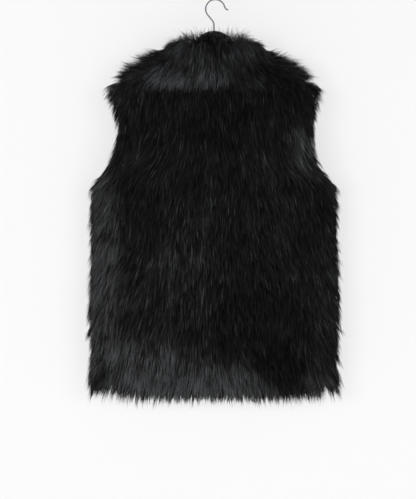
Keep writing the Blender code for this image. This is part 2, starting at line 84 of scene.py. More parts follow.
COLLAR_ROLL = 6.0
COLLAR_LIFT = 5.8
SHOULDER_STATION = 11
FRONT_STATION = 22
ROLL_ANGLES = (180.0, 135.0, 90.0, 45.0, 5.0)
FALL_STEPS = (0.26, 0.42, 0.58, 0.74, 0.88, 1.0)
NECK_COLUMNS = 5
NECK_SUBSTEPS = (2, 2, 2, 2, 3)

# Points on the outline of the collar: for each station, and along the front end
STATION_POINTS = 4
FRONT_END_POINTS = 10

Level = namedtuple("Level", "z half_width armhole_left armhole_right half_depth")
LEVELS = (
    Level(-790.0, 219.0, 240.0, 240.0, 31.0),
    Level(-700.0, 221.0, 240.0, 240.0, 30.0),
    Level(-600.0, 224.0, 240.0, 240.0, 29.0),
    Level(-450.0, 222.0, 240.0, 240.0, 28.0),
    Level(-352.0, 221.0, 224.0, 224.0, 28.0),
    Level(-335.0, 220.0, 208.0, 206.0, 28.0),
    Level(-315.0, 220.0, 195.0, 191.0, 28.5),
    Level(-285.0, 219.0, 184.0, 183.0, 29.5),
    Level(-245.0, 218.0, 177.5, 182.0, 30.5),
    Level(-205.0, 216.0, 181.5, 184.5, 31.5),
    Level(-165.0, 214.0, 188.0, 188.0, 32.5),
    Level(-60.0, 212.0, 188.0, 188.0, 33.5),
)

CollarEdge = namedtuple("CollarEdge", "station x way")
COLLAR_EDGE = (
    CollarEdge(0, 0.0, 125.0),
    CollarEdge(2, 38.0, 116.0),
    CollarEdge(4, 76.0, 108.0),
    CollarEdge(6, 112.0, 97.0),
    CollarEdge(8, 145.0, 71.0),
    CollarEdge(9, 156.5, 48.0),
    CollarEdge(10, 163.5, 24.0),
    CollarEdge(11, 166.0, 0.0),
    CollarEdge(12, 166.0, -24.0),
    CollarEdge(13, 163.5, -48.0),
    CollarEdge(14, 158.0, -72.0),
    CollarEdge(16, 141.0, -117.0),
    CollarEdge(18, 117.0, -158.0),
    CollarEdge(20, 88.0, -196.0),
    CollarEdge(22, 55.0, -225.0),
)


def smooth_step(low, high, value):
    """Rise softly from 0 at low to 1 at high."""
    share = np.clip((np.asarray(value, float) - low) / (high - low), 0.0, 1.0)
    return share * share * (3.0 - 2.0 * share)


def reader(table, key, column):
    """A smooth curve through one column of a table."""
    keys = np.array([getattr(row, key) for row in table], float)
    values = np.array([getattr(row, column) for row in table], float)
    slopes = np.gradient(values, keys)
    level = np.flatnonzero(np.diff(values) == 0.0)
    slopes[level] = 0.0
    slopes[level + 1] = 0.0

    def read(at):
        at = np.clip(np.asarray(at, float), keys[0], keys[-1])
        i = np.clip(np.searchsorted(keys, at, side="right") - 1, 0, len(keys) - 2)
        span = keys[i + 1] - keys[i]
        s = (at - keys[i]) / span
        start = (1.0 + 2.0 * s) * (1.0 - s) ** 2 * values[i]
        end = s * s * (3.0 - 2.0 * s) * values[i + 1]
        bend = s * (1.0 - s) ** 2 * slopes[i] - s * s * (1.0 - s) * slopes[i + 1]
        return start + end + span * bend

    return read


half_width = reader(LEVELS, "z", "half_width")
half_depth = reader(LEVELS, "z", "half_depth")
armhole = {1.0: reader(LEVELS, "z", "armhole_left"), -1.0: reader(LEVELS, "z", "armhole_right")}
collar_edge_x = reader(COLLAR_EDGE, "station", "x")
collar_edge_way = reader(COLLAR_EDGE, "station", "way")


def unit(vector):
    """Scale vectors to length 1 along their last axis."""
    return vector / np.maximum(np.linalg.norm(vector, axis=-1, keepdims=True), 1e-9)


def softened(x):
    """Distance from the centre line, rounded off near it."""
    return np.sqrt(np.square(x) + SHOULDER_ROUNDING ** 2)


def ridge_z(x):
    """Level of the shoulder line."""
    return NECK_POINT_Z - math.tan(SHOULDER_SLOPE) * (softened(x) - softened(NECK_HALF))


def roll_height(x):
    """How far the cloth drops while it rolls out from the shoulder line."""
    return ROLL_AT_NECK + (ROLL_AT_SHOULDER - ROLL_AT_NECK) * smooth_step(*ROLL_BLEND, np.abs(x))


def level_at(x, way):
    """Level of the cloth at a distance along its path from the shoulder line."""
    roll = roll_height(x)
    turn = np.minimum(way / roll, math.pi / 2)
    return ridge_z(x) - roll * (1.0 - np.cos(turn)) - np.maximum(0.0, way - roll * math.pi / 2)


def way_to(x, z):
    """Distance along the cloth's path from the shoulder line down to a level."""
    roll = roll_height(x)
    drop = np.maximum(ridge_z(x) - z, 0.0)
    curved = roll * np.arccos(1.0 - np.minimum(drop / roll, 1.0))
    return np.where(drop < roll, curved, roll * math.pi / 2 + drop - roll)


def body_point(x, way):
    """Points of the backing, with the way counted negative down the fronts."""
    x = np.asarray(x, float)
    down = np.abs(way)
    z = level_at(x, down)
    turn = np.minimum(down / roll_height(x), math.pi / 2)
    across = np.minimum(np.abs(x) / half_width(z), 1.0)
    bulge = (1.0 - across ** SECTION_POWER) ** (1.0 / SECTION_POWER)
    y = np.where(np.asarray(way) >= 0.0, 1.0, -1.0) * half_depth(z) * bulge * np.sin(turn)
    return np.stack(np.broadcast_arrays(x, y, z), axis=-1)


def body_normal(x, way):
    """Outward direction of the backing."""
    along = body_point(x, way + SURFACE_STEP) - body_point(x, way - SURFACE_STEP)
    sideways = body_point(x + SURFACE_STEP, way) - body_point(x - SURFACE_STEP, way)
    return unit(np.cross(sideways, along))


def neckline_z(x, facing):
    """Level of the neck opening's edge within the neck points."""
    share = np.maximum(1.0 - np.square(x / NECK_HALF), 0.0)
    if facing > 0:
        return NECK_POINT_Z + (BACK_NECK_Z - NECK_POINT_Z) * share
    return NECK_POINT_Z + (FRONT_NECK_Z - NECK_POINT_Z) * share ** FRONT_NECK_POWER


def top_way(x, facing):
    """Where a panel's top edge lies."""
    x = np.asarray(x, float)
    return np.where(np.abs(x) >= NECK_HALF - NECK_POINT_ROOM, 0.0, way_to(x, neckline_z(x, facing)))


def hem_way(x):
    """Where a panel's hem lies."""
    return way_to(x, HEM_Z + HEM_RISE * (np.abs(x) / HEM_HALF) ** HEM_POWER)


def panel_edge_x(side, down):
    """Distance of the side seam or armhole edge from the centre line, on each row."""
    x = np.full_like(down, HEM_HALF)
    for _ in range(EDGE_ROUNDS):
        z = level_at(x, hem_way(x) * down)
        x = np.minimum(armhole[side](z), half_width(z))
    return x


def hang(points):
    """Bend the garment as it hangs: shoulders forward, soft sway below."""
    bent = np.array(points, dtype=float)
    x = bent[..., 0].copy()
    z = bent[..., 2]
    low = np.clip((SWAY_TOP_Z - z) / (SWAY_TOP_Z - HEM_Z), 0.0, SWAY_MOST)
    bent[..., 1] -= FORWARD_BEND * (x / SHOULDER_HALF) ** 2 * (1.0 - BEND_LOST_BELOW * low)
    bent[..., 1] += SWAY * low * np.sin(2.0 * math.pi * (x - SWAY_SLANT * z) / SWAY_WAVE)
    bent[..., 0] += CENTRE_X
    return bent


def collar_outline():
    """Points round the collar's lower edge and its front end, as x and signed way."""
    steps = np.linspace(0.0, FRONT_STATION, STATION_POINTS * FRONT_STATION + 1)
    edge = np.stack((collar_edge_x(steps), collar_edge_way(steps)), axis=-1)
    neck = np.array((0.0, -float(top_way(0.0, -1.0))))
    shares = np.linspace(1.0 / FRONT_END_POINTS, 1.0, FRONT_END_POINTS)[:, None]
    return np.concatenate((edge, edge[-1] + (neck - edge[-1]) * shares))


COLLAR_OUTLINE = collar_outline()


def past_collar(x, way):
    """How far points of the cloth lie outside the collar's outline, negative under it."""
    x = np.abs(np.asarray(x, float))
    way = np.asarray(way, float)
    place = np.stack(np.broadcast_arrays(x, way), axis=-1)
    distance = np.full(place.shape[:-1], np.inf)
    for point in COLLAR_OUTLINE:
        distance = np.minimum(distance, np.linalg.norm(place - point, axis=-1))
    facing = 1.0 if np.mean(way) >= 0.0 else -1.0
    half = COLLAR_OUTLINE[COLLAR_OUTLINE[:, 1] * facing >= 0.0]
    order = np.argsort(half[:, 0])
    reach = np.interp(x, half[order, 0], np.abs(half[order, 1]), right=-1.0)
    return np.where(np.abs(way) > reach, distance, -distance)


# A surface that fur grows on, as grids: places and directions, the place in the cloth's
# coordinates, and the distances to the edge that fur hangs down to and to an open side edge. The
# rest shapes the fur: height of the pile, how much it falls, its reach, how far it hangs past an
# edge, how wild it is, how dense its roots are, how upright it grows and how far it leans outward.
Surface = namedtuple(
    "Surface",
    "points normals down across x z hem_way edge pile fall reach brim wild dense upright outward")

PANEL_ROWS = 70
PANEL_COLUMNS = 34
EDGE_CROWDING = 0.28

# An edge too far away to matter, and the depth where back and fronts meet and no edge is open
NO_EDGE = 999.0
MEETING_Y = -4.5
MEETING_HALF = 3.0

# Fur on the panels. Each pair holds the millimetres between which a change comes or goes.
CORNER_REACH = 0.45
CORNER_X = (60.0, 200.0)
CORNER_RISE = (10.0, 60.0)
TIP_WILD = 0.8
TIP_PILE_LOSS = 0.1
TIP_X = (140.0, 180.0)
TIP_WAY = (30.0, 80.0)
TIP_LEAN = 0.55
TIP_LEAN_X = (145.0, 185.0)
TIP_LEAN_Z = -165.0
TIP_LEAN_TALL = 24.0
EDGE_WILD = 0.55
EDGE_LEAN = 0.2
EDGE_FADE = (6.0, 30.0)
UNDER_COLLAR = (-16.0, 2.0)
HEM_ROOTS = 2.1
HEM_ROOTS_FADE = (4.0, 22.0)
SIDE_ROOTS = 2.4
SIDE_ROOTS_FADE = (3.0, 18.0)


def grid_frame(points, faces_out):
    """Normals, downward and outward directions of a grid. faces_out tests the normals' side."""
    down = unit(np.gradient(points, axis=0))
    normals = unit(np.cross(down, np.gradient(points, axis=1)))
    if not faces_out(normals):
        normals = -normals
    across = unit(np.cross(down, normals))
    return normals, down, across * np.sign(across[..., :1])


def tip_lean(x, points):
    """Extra lean outward round the shoulders' tips, in radians."""
    near = np.exp(-np.square((points[..., 2] - TIP_LEAN_Z) / TIP_LEAN_TALL))
    return TIP_LEAN * near * smooth_step(*TIP_LEAN_X, np.abs(x))


def faded(peak, span, value):
    """A factor that falls from its peak to 1 over a span."""
    return peak - (peak - 1.0) * smooth_step(*span, value)


def panel_grid(side, facing):
    """Places of one panel in the cloth's coordinates, and how far each is from the side edge."""
    down = np.linspace(0.0, 1.0, PANEL_ROWS + 1)
    share = np.linspace(0.0, 1.0, PANEL_COLUMNS + 1)
    crowded = share * (1.0 + EDGE_CROWDING - EDGE_CROWDING * share * share)
    halves = []
    for turned in ((-1.0, 1.0) if side == 0 else (side,)):
        edge = panel_edge_x(turned, down)
        x = edge[:, None] * crowded[None, :]
        if facing < 0:
            x = np.maximum(x, FRONT_GAP / 2)
        top = top_way(x[0], facing)
        way = top[None, :] + (hem_way(x) - top[None, :]) * down[:, None]
        halves.append((turned * x, way, edge[:, None] - x))
    if side == 0:
        left = [grid[:, :0:-1] for grid in halves[0]]
        return [np.concatenate((a, b), axis=1) for a, b in zip(left, halves[1])]
    return halves[0]


def panel_surface(side, facing):
    """One panel as a grid. side 0 is the whole back, 1 and -1 are the wearer's left and right."""
    x, way, gap = panel_grid(side, facing)
    points = hang(body_point(x, facing * way))
    normals, down, across = grid_frame(
        points, lambda normals: np.sum(np.sign(normals[..., 1] * facing)) >= 0)

    to_hem = hem_way(np.abs(x)) - way
    open_edge = np.abs(points[..., 1] - MEETING_Y) > MEETING_HALF
    corner = smooth_step(*CORNER_X, np.abs(x)) * (1.0 - smooth_step(*CORNER_RISE, to_hem))
    reach = 1.0 + CORNER_REACH * corner
    tip = smooth_step(*TIP_X, np.abs(x)) * (1.0 - smooth_step(*TIP_WAY, way))
    near_edge = 1.0 - smooth_step(*EDGE_FADE, gap)
    roots = smooth_step(*UNDER_COLLAR, past_collar(x, facing * way))
    roots = roots * faded(HEM_ROOTS, HEM_ROOTS_FADE, to_hem)
    roots = roots * faded(SIDE_ROOTS, SIDE_ROOTS_FADE, gap)
    return Surface(
        points=points, normals=normals, down=down, across=across, x=x, z=points[..., 2],
        hem_way=to_hem, edge=np.where(open_edge, gap, NO_EDGE), pile=1.0 - TIP_PILE_LOSS * tip,
        fall=np.ones_like(x), reach=reach, brim=reach,
        wild=np.maximum(TIP_WILD * tip, EDGE_WILD * near_edge), dense=roots,
        upright=np.zeros_like(x), outward=EDGE_LEAN * near_edge + tip_lean(x, points))


def neck_stations(facing):
    """Points, x and way round half the neckline, centre to shoulder."""
    corners = []
    for k in range(NECK_COLUMNS + 1):
        x = NECK_HALF * math.sin(k / NECK_COLUMNS * math.pi / 2)
        way = float(top_way(x, facing))
        corners.append(np.array((*body_point(x, facing * way), x, facing * way)))
    stations = []
    for k, substeps in enumerate(NECK_SUBSTEPS):
        for step in range(substeps):
            stations.append(corners[k] + (corners[k + 1] - corners[k]) * step / substeps)
    return stations + [corners[-1]]


# The collar at one place along its length: where it leaves the neckline, that place and the place
# of its edge in the cloth's coordinates, and the height of its stand
Station = namedtuple("Station", "neck neck_x neck_way edge_x edge_way stand")


def collar_half(side):
    """Stations of one half of the collar, from centre back to front end."""
    half = []
    around = neck_stations(1.0) + neck_stations(-1.0)[-2::-1]
    for number, (point_x, point_y, point_z, x, way) in enumerate(around):
        turn = min(number / SHOULDER_STATION, 1.0) * math.pi / 2
        if number > SHOULDER_STATION:
            x = max(x, FRONT_GAP / 2)
        half.append(Station(
            neck=np.array((side * max(point_x, x), point_y, point_z)),
            neck_x=side * x, neck_way=way,
            edge_x=side * float(collar_edge_x(number)), edge_way=float(collar_edge_way(number)),
            stand=STAND_SIDE + (STAND_BACK - STAND_SIDE) * math.cos(turn) ** 2))
    return half


def collar_section(station, along, outward):
    """Backing points of one section through the collar."""
    neck, neck_x, neck_way, edge_x, edge_way, stand = station
    upward = unit(np.cross(along, outward))
    upward *= math.copysign(1.0, upward[2])
    off_cloth = body_normal(neck_x, neck_way)
    points = [neck + off_cloth * STAND_OUT]
    centre = neck + outward * (STAND_OUT + COLLAR_ROLL) + upward * stand
    for angle in ROLL_ANGLES:
        turn = math.radians(angle)
        points.append(centre + COLLAR_ROLL * (math.cos(turn) * outward + math.sin(turn) * upward))
    for share in FALL_STEPS:
        x = neck_x + (edge_x - neck_x) * share
        way = neck_way + (edge_way - neck_way) * share
        points.append(body_point(x, way) + body_normal(x, way) * COLLAR_LIFT)
    return points


# Pile of the collar's fur at each point of its section, as in the part's source
COLLAR_PILE = (4.0, 6.5, 9.5, 12.5, 15.0, 17.0, 18.5, 18.0, 17.0, 16.0, 14.5, 9.5)

# Rows of the section: the first with roots, and those between which the roll becomes the fall
FIRST_FURRED_ROW = 2
FALL_ROWS = (4.0, 6.0)

# Fur on the ridge that the fall makes over the shoulders. Beside the neck it stands up most, and
# more on the wearer's left.
RIDGE_HALF = 22.0
RIDGE_PILE_LOSS = 0.25
RIDGE_FALL_LOSS = 0.8
RIDGE_BRIM = 2.0
BESIDE_NECK_X = 112.0
BESIDE_NECK_HALF = 34.0
BESIDE_NECK_LEFT = 1.4
BESIDE_NECK_PILE = 0.9
BESIDE_NECK_REACH = 0.15

# Fur on the roll: dense, longer behind the neck and shorter towards the sides
ROLL_ROOTS = 1.6
ROLL_REACH = 0.1
ROLL_SIDE_LOSS = 0.5
ROLL_SIDE_X = (45.0, 75.0)


def collar_backing():
    """Backing points of all sections of the collar, from left front to right front, unhung."""
    stations = collar_half(1.0)[:0:-1] + collar_half(-1.0)
    neck = np.array([station.neck for station in stations])
    along = unit(np.gradient(neck, axis=0))
    backing = []
    for index, station in enumerate(stations):
        outward = np.array((along[index, 1], -along[index, 0], 0.0))
        if index in (0, len(stations) - 1):
            outward = np.array((0.0, -1.0, 0.0))
        outward = unit(outward)
        if np.dot(outward, neck[index] * (1.0, 1.0, 0.0)) < 0.0:
            outward = -outward
        backing.append(collar_section(station, along[index], outward))
    backing = np.array(backing)
    fronts = FRONT_STATION - SHOULDER_STATION
    nearest = FRONT_GAP / 2 + SEAM_GAP
    for rows, side in ((slice(0, fronts), 1.0), (slice(-fronts, None), -1.0)):
        backing[rows, :, 0] = side * np.maximum(side * backing[rows, :, 0], nearest)
    return backing


def collar_surface():
    """The collar's backing as a grid, rows along its section and columns along its length."""
    backing = collar_backing()
    x = backing[..., 0].T
    points = hang(backing).transpose(1, 0, 2)
    middle = len(backing) // 2
    normals, down, across = grid_frame(points, lambda normals: normals[-2, middle, 1] >= 0.0)
    turned = np.cumsum(np.linalg.norm(np.diff(points, axis=0, prepend=points[:1]), axis=-1), axis=0)

    rows = np.arange(len(COLLAR_PILE))[:, None] * np.ones_like(x)
    on_fall = smooth_step(*FALL_ROWS, rows)
    on_roll = 1.0 - on_fall
    on_ridge = np.exp(-np.square(points[..., 1] / RIDGE_HALF)) * on_fall
    beside_neck = on_ridge * np.exp(-np.square((np.abs(x) - BESIDE_NECK_X) / BESIDE_NECK_HALF))
    beside_neck = beside_neck * np.where(x > 0.0, BESIDE_NECK_LEFT, 1.0)
    to_side = smooth_step(*ROLL_SIDE_X, np.abs(x))
    pile = np.array(COLLAR_PILE)[:, None]
    pile = pile * (1.0 - RIDGE_PILE_LOSS * on_ridge + BESIDE_NECK_PILE * beside_neck)
    pile = pile * (1.0 - on_roll * ROLL_SIDE_LOSS * to_side)
    roll_reach = on_roll * (ROLL_REACH - ROLL_SIDE_LOSS * to_side)
    reach = 1.0 + BESIDE_NECK_REACH * beside_neck + roll_reach
    return Surface(
        points=points, normals=normals, down=down, across=across, x=x, z=points[..., 2],
        hem_way=turned[-1:] - turned, edge=np.full_like(x, NO_EDGE), pile=pile,
        fall=1.0 - RIDGE_FALL_LOSS * on_ridge, reach=reach, brim=1.0 + RIDGE_BRIM * on_ridge,
        wild=on_ridge, dense=np.where(rows >= FIRST_FURRED_ROW, 1.0 + ROLL_ROOTS * on_roll, 0.0),
        upright=on_roll, outward=tip_lean(x, points))


# How far the cloth's shell stands off the solid's backing, except at its side edges
BACKING_OFFSET = 0.4


def link(name, data):
    """Put a mesh, lamp or camera into the scene."""
    made = bpy.data.objects.new(name, data)
    bpy.context.scene.collection.objects.link(made)
    return made


def shell(name, surface):
    """The cloth itself: a thin shell on the backing of the solid."""
    raised = np.full(surface.points.shape[:2] + (1,), BACKING_OFFSET)
    raised[:, 0] = 0.0
    raised[:, -1] = 0.0
    points = (surface.points + surface.normals * raised) * MILLIMETRE
    rows, columns = points.shape[:2]
    index = np.arange(rows * columns).reshape(rows, columns)
    quads = np.stack((index[:-1, :-1], index[1:, :-1], index[1:, 1:], index[:-1, 1:]), axis=-1)
    mesh = bpy.data.meshes.new(name)
    mesh.from_pydata(points.reshape(-1, 3).tolist(), [], quads.reshape(-1, 4).tolist())
    mesh.shade_smooth()
    return link(name, mesh)


# Sine waves that add up to soft unevenness: their number, the first one's size and how much each
# next one adds, how they turn and shift by salt and by number, and the size of their sum
WAVE_COUNT = 5
WAVE_SIZES = (0.75, 0.22)
WAVE_TURNS = (1.7, 2.399)
WAVE_SHIFTS = (3.1, 1.9)
WAVE_SUM = 2.6


def waves(x, z, salt, size):
    """Soft uneven waves from about -1 to 1 over the cloth, each patch of a given size."""
    total = np.zeros_like(x)
    for k in range(WAVE_COUNT):
        angle = salt * WAVE_TURNS[0] + k * WAVE_TURNS[1]
        wave = 2.0 * math.pi / (size * (WAVE_SIZES[0] + WAVE_SIZES[1] * k))
        along = x * math.cos(angle) + z * math.sin(angle)
        total += np.sin(along * wave + salt * WAVE_SHIFTS[0] + k * WAVE_SHIFTS[1])
    return total / WAVE_SUM


# Patches of painted highlight (tone above 0) and painted shade (tone below 0) on the fur: centre
# and half sizes across and down, in millimetres on the back as it is seen, with the change of tone
# there
Patch = namedtuple("Patch", "x z wide tall tone")
BACK_PAINTED_LIGHT = (
    Patch(218.0, -490.0, 29.0, 140.0, 20.0),
    Patch(165.0, -180.0, 26.0, 35.0, 1.6),
    Patch(-161.0, -288.0, 17.0, 27.0, 14.0),
    Patch(60.0, -530.0, 55.0, 100.0, 1.5),
    Patch(-115.0, -430.0, 30.0, 80.0, 0.3),
    Patch(-212.0, -550.0, 20.0, 40.0, 0.8),
    Patch(170.0, -662.0, 60.0, 26.0, 8.5),
    Patch(125.0, -700.0, 80.0, 30.0, 11.0),
    Patch(30.0, -731.0, 125.0, 26.0, 26.0),
    Patch(130.0, -703.0, 20.0, 11.0, -11.0),
    Patch(52.0, -706.0, 24.0, 12.0, -12.0),
    Patch(210.0, -718.0, 20.0, 20.0, -4.0),
    Patch(-190.0, -724.0, 34.0, 18.0, 3.0),
    Patch(-25.0, -225.0, 60.0, 60.0, -0.5),
    Patch(150.0, -390.0, 50.0, 42.0, -0.4),
    Patch(-185.0, -435.0, 35.0, 60.0, -0.4),
    Patch(-62.0, -600.0, 85.0, 90.0, -0.85),
    Patch(-112.0, -716.0, 42.0, 34.0, -8.0),
)
# Painted highlight and painted shade on the collar's fur, brightest in a band above its lower edge
COLLAR_PAINTED_LIGHT = (
    Patch(80.0, -159.0, 30.0, 12.0, 12.0),
    Patch(14.0, -153.0, 32.0, 16.0, 8.5),
    Patch(10.0, -95.0, 100.0, 34.0, 1.5),
    Patch(-75.0, -150.0, 45.0, 30.0, -0.4),
    Patch(-130.0, -170.0, 50.0, 25.0, -0.3),
)


def painted_light_tone(patches, x, z):
    """Sum of the painted highlight and painted shade of each patch at places on the cloth."""
    tone = np.zeros_like(x)
    for patch in patches:
        reach = np.square((x - patch.x) / patch.wide) + np.square((z - patch.z) / patch.tall)
        tone += patch.tone * np.exp(-reach)
    return tone


# One coat of fur on one surface. Ribbons that share a root make a lock: spread is how far they part
# there and tip_spread how much of that lasts. fringe is how far they may hang past an edge.
Coat = namedtuple(
    "Coat", "ribbons per_lock spread tip_spread length fringe width lift tone patches salt")

# The way of a strand in three steps: their ends as shares of its length, how they rise off the
# cloth where fur is tame and where it is wild, and how they fall
SEGMENT_SHARES = (0.0, 0.3, 0.64, 1.0)
SEGMENT_LIFTS = (0.85, 0.36, 0.04)
WILD_LIFTS = (0.55, 0.42, 0.3)
SEGMENT_FALLS = (0.05, 0.3, 0.6)

# The nap leans outward from the centre line, least near it and most at the sides, with large and
# small waves
NAP_CENTRE = (0.0, 60.0)
NAP_LEAST = 0.08
NAP_MORE = 0.24
NAP_X = 220.0
NAP_WAVES = ((0.15, 0.0, 130.0), (0.06, 7.0, 41.0))

# Tufts: how many for each lock, spaced evenly however dense the roots are. Locks are drawn to the
# one that leads their tuft, more towards their tips and less where they grow upright.
TUFT_SHARE = 0.14
FEWEST_TUFTS = 8
LEAST_CROWDING = 0.5
TUFT_PULL = (0.0, 0.42)
PULL_ALONG = (0.0, 0.12, 0.6, 1.0)
UPRIGHT_PULL_LOSS = 0.7

# Unevenness of lift and lean, and what wild or upright fur adds to it
TUFT_LIFTS = (0.2, 0.25)
TUFT_LEANS = (0.07, 0.1)
LOCK_LEANS = (0.06, 0.2)
LOCK_LIFTS = (0.75, 1.25)
LIFT_WAVES = (0.2, 3.0, 60.0)

# Lengths: unevenness, the room past an open edge for fur that leans over it, and the least length
LOCK_LENGTHS = (0.75, 1.15)
UPRIGHT_UNEVEN = 0.3
FRINGE_UNEVEN = 0.45
EDGE_ROOM = (8.0, 22.0)
OUTWARD_ROOM = 16.0
LEAST_LEAN = 0.05
FREE_ROOM = 99.0
SHORTEST = 9.0

# Ribbons of a lock: how they part along it, their length, turn and width
SPREAD_ALONG = (1.0, 0.85, 0.6, 0.3)
TIP_SPREADS = (0.5, 1.5)
RIBBON_LENGTHS = (0.72, 1.05)
LOCK_TURN = 0.35
RIBBON_TURN = 0.55
RIBBON_WIDTHS = (0.7, 1.3)
WIDTH_ALONG = (0.75, 1.0, 0.8)

# A ribbon's points are three pairs and the tip. These are the corners of its faces.
RIBBON_POINTS = 7
RIBBON_FACES = ((0, 1, 3, 2), (2, 3, 5, 4), (4, 5, 6))

# Depths that no fur passes, at front and back
DEEPEST_Y = (-75.5, 72.5)

# Tone. Patches of painted highlight and painted shade are placed as seen, which is below the roots,
# and only on the garment's back.
SEEN_BELOW = 14.0
BACK_FADE_Y = (-5.0, 10.0)
# Waves that break up the painted highlight and shade, and a painted sheen that makes the painted
# highlight uneven from tuft to tuft and lock to lock
PATCH_WAVES = (0.6, 5.0, 34.0)
SHEEN = 0.82
SHEEN_BY_TUFT = 0.55
SHEEN_BY_LOCK = 0.3
LEAST_TONE = 0.25
EDGE_TONE = 0.4
EDGE_TONE_FADE = (1.0, 12.0)
TONE_WAVES = (0.3, 11.0, 60.0)
TONE_BY_TUFT = 0.28
TONE_BY_LOCK = 0.75
TONE_BY_RIBBON = 0.6
TONE_RANGE = (0.01, 0.9)
# Painted shade deep in the pile: the root's tone as a share of the tip's, and how that shade lifts
# along the ribbon's points
PAINTED_ROOT_SHADE = 0.5
ROOT_SHADE_FADE_ALONG = (0.0, 0.0, 0.42, 0.42, 0.8, 0.8, 1.0)


def scatter(surface, count):
    """Random places on a grid: their cell and their place in it, spread by area and density."""
    corner = surface.points
    a = corner[1:, :-1] - corner[:-1, :-1]
    b = corner[:-1, 1:] - corner[:-1, :-1]
    area = np.linalg.norm(np.cross(a, b), axis=-1)
    inside = (surface.dense[:-1, :-1] + surface.dense[1:, 1:]) / 2
    odds = (area * inside).ravel()
    cell = RNG.choice(len(odds), size=count, p=odds / odds.sum())
    columns = corner.shape[1] - 1
    return cell // columns, cell % columns, RNG.random(count), RNG.random(count)


def read_grid(grid, place):
    """Read a grid at scattered places."""
    r, c, u, v = place
    if grid.ndim == 3:
        u = u[:, None]
        v = v[:, None]
    top = grid[r, c] * (1 - v) + grid[r, c + 1] * v
    bottom = grid[r + 1, c] * (1 - v) + grid[r + 1, c + 1] * v
    return top * (1 - u) + bottom * u


def uneven(count):
    """Random numbers round 0 with a usual size of 1."""
    return RNG.normal(0.0, 1.0, count)


def waving(x, z, coat, kind):
    """Waves of one kind over a coat, where a kind is their height, salt and size."""
    height, salt, size = kind
    return height * waves(x, z, coat.salt + salt, size)


def nap(at, coat):
    """How far the fur leans outward from straight down, in radians, positive to the left."""
    outward = np.sign(at.x) * smooth_step(*NAP_CENTRE, np.abs(at.x))
    lean = outward * (NAP_LEAST + NAP_MORE * np.abs(at.x) / NAP_X)
    for kind in NAP_WAVES:
        lean = lean + waving(at.x, at.z, coat, kind)
    return lean


def strands(at, length, lift, lean):
    """Points along strands from their roots: rise off the cloth, then lie along it and fall."""
    heading = unit(at.down * np.cos(lean)[:, None] + at.across * np.sin(lean)[:, None])
    path = [at.points]
    falling = np.array((0.0, 0.0, -1.0))
    for k, (tame, wild, fall) in enumerate(zip(SEGMENT_LIFTS, WILD_LIFTS, SEGMENT_FALLS)):
        step = (SEGMENT_SHARES[k + 1] - SEGMENT_SHARES[k]) * length
        rise = (tame + (wild - tame) * at.wild) * lift
        way = unit(heading + at.normals * rise[:, None] + falling * (fall * at.fall)[:, None])
        path.append(path[-1] + way * step[:, None])
    return np.stack(path, axis=1)


def gather(points, crowding):
    """Gather locks into tufts: each lock's tuft, and the lock that leads each tuft."""
    apart = 1.0 / np.maximum(crowding, LEAST_CROWDING)
    tufts = max(FEWEST_TUFTS, int(len(points) * TUFT_SHARE))
    leaders = RNG.choice(len(points), size=tufts, replace=False, p=apart / apart.sum())
    tree = kdtree.KDTree(tufts)
    for order, leader in enumerate(leaders):
        tree.insert(points[leader], order)
    tree.balance()
    return np.array([tree.find(point)[1] for point in points]), leaders


def lock_paths(at, coat, tuft, leaders):
    """The middle line of each lock."""
    locks, tufts = len(tuft), len(leaders)
    tuft_lift = np.exp((TUFT_LIFTS[0] + TUFT_LIFTS[1] * at.wild) * uneven(tufts)[tuft])
    tuft_lean = (TUFT_LEANS[0] + TUFT_LEANS[1] * at.wild) * uneven(tufts)[tuft]
    lean = nap(at, coat) + tuft_lean
    lean += (LOCK_LEANS[0] + LOCK_LEANS[1] * at.upright) * uneven(locks)
    lean += at.outward * np.sign(at.x)

    room = at.edge + RNG.uniform(*EDGE_ROOM, tufts)[tuft] + OUTWARD_ROOM * at.outward
    room = room / np.maximum(np.abs(np.sin(lean)), LEAST_LEAN)
    room = np.where(lean * np.sign(at.x) > 0.0, room, FREE_ROOM)
    length = coat.length * at.reach
    length = length * (1.0 + UPRIGHT_UNEVEN * at.upright * RNG.uniform(-1.0, 1.0, locks))
    length = length * RNG.uniform(*LOCK_LENGTHS, locks)
    fringe = at.brim * (1.0 + FRINGE_UNEVEN * RNG.uniform(-1.0, 1.0, tufts)[tuft])
    fringe = fringe * RNG.uniform(*coat.fringe, locks)
    length = np.minimum(length, at.hem_way + fringe)
    length = np.minimum(length, np.maximum(room, SHORTEST))

    lift = coat.lift * at.pile * tuft_lift * RNG.uniform(*LOCK_LIFTS, locks)
    lift *= 1.0 + waving(at.x, at.z, coat, LIFT_WAVES)
    middle = strands(at, length, lift, lean)
    pull = RNG.uniform(*TUFT_PULL, locks) * (1.0 - UPRIGHT_PULL_LOSS * at.upright)
    pull_along = np.array(PULL_ALONG)[None, :, None]
    return middle + (middle[leaders[tuft]] - middle) * pull_along * pull[:, None, None]


